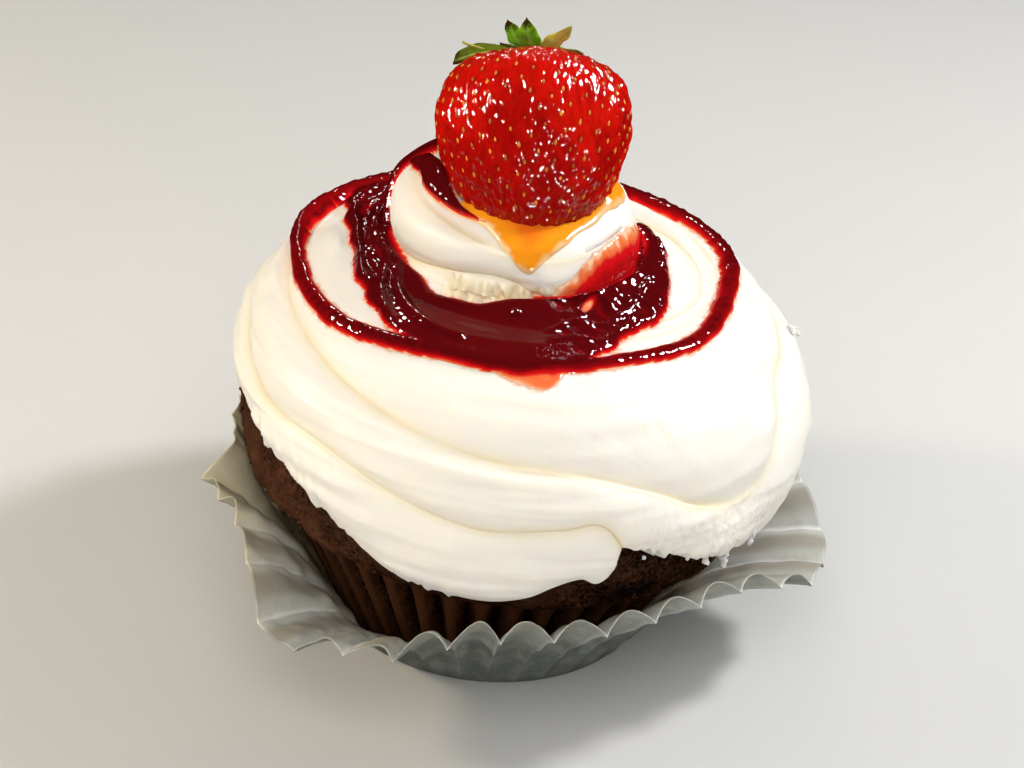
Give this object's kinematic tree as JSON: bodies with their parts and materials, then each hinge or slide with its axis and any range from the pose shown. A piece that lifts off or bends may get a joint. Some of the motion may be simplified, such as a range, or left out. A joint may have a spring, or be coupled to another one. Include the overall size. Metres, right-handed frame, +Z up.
{
  "type": "cupcake",
  "caption": "Chocolate cupcake in a peeled-open pleated paper case, piped with a spiral of white icing, drizzled with berry sauce and topped with a whole strawberry.",
  "frame": {"origin": "centre of the paper case's flat base, on the surface that it stands on", "axes": "+Z up, -Y towards the front, +X to the right seen from the front"},
  "size_m": [0.0944, 0.0909, 0.0933],
  "materials": {
    "paper": "thin greaseproof paper, pleated, matte",
    "sponge": "dark chocolate sponge, dry and crumbly",
    "icing": "smooth ivory-white buttercream, softly satin",
    "sauce": "dark glossy berry sauce, bright red where thin",
    "syrup": "clear orange juice from the berry, wet",
    "berry": "ripe strawberry under a wet glaze",
    "seed": "golden seeds set in dimples",
    "leaf": "thin green leaf, waxy, dry at its tips"
  },
  "bodies": {
    "root": {"paper_case": "paper", "cake": "sponge", "icing": "icing", "strawberry": "berry", "calyx": "leaf"}
  },
  "joints": []
}
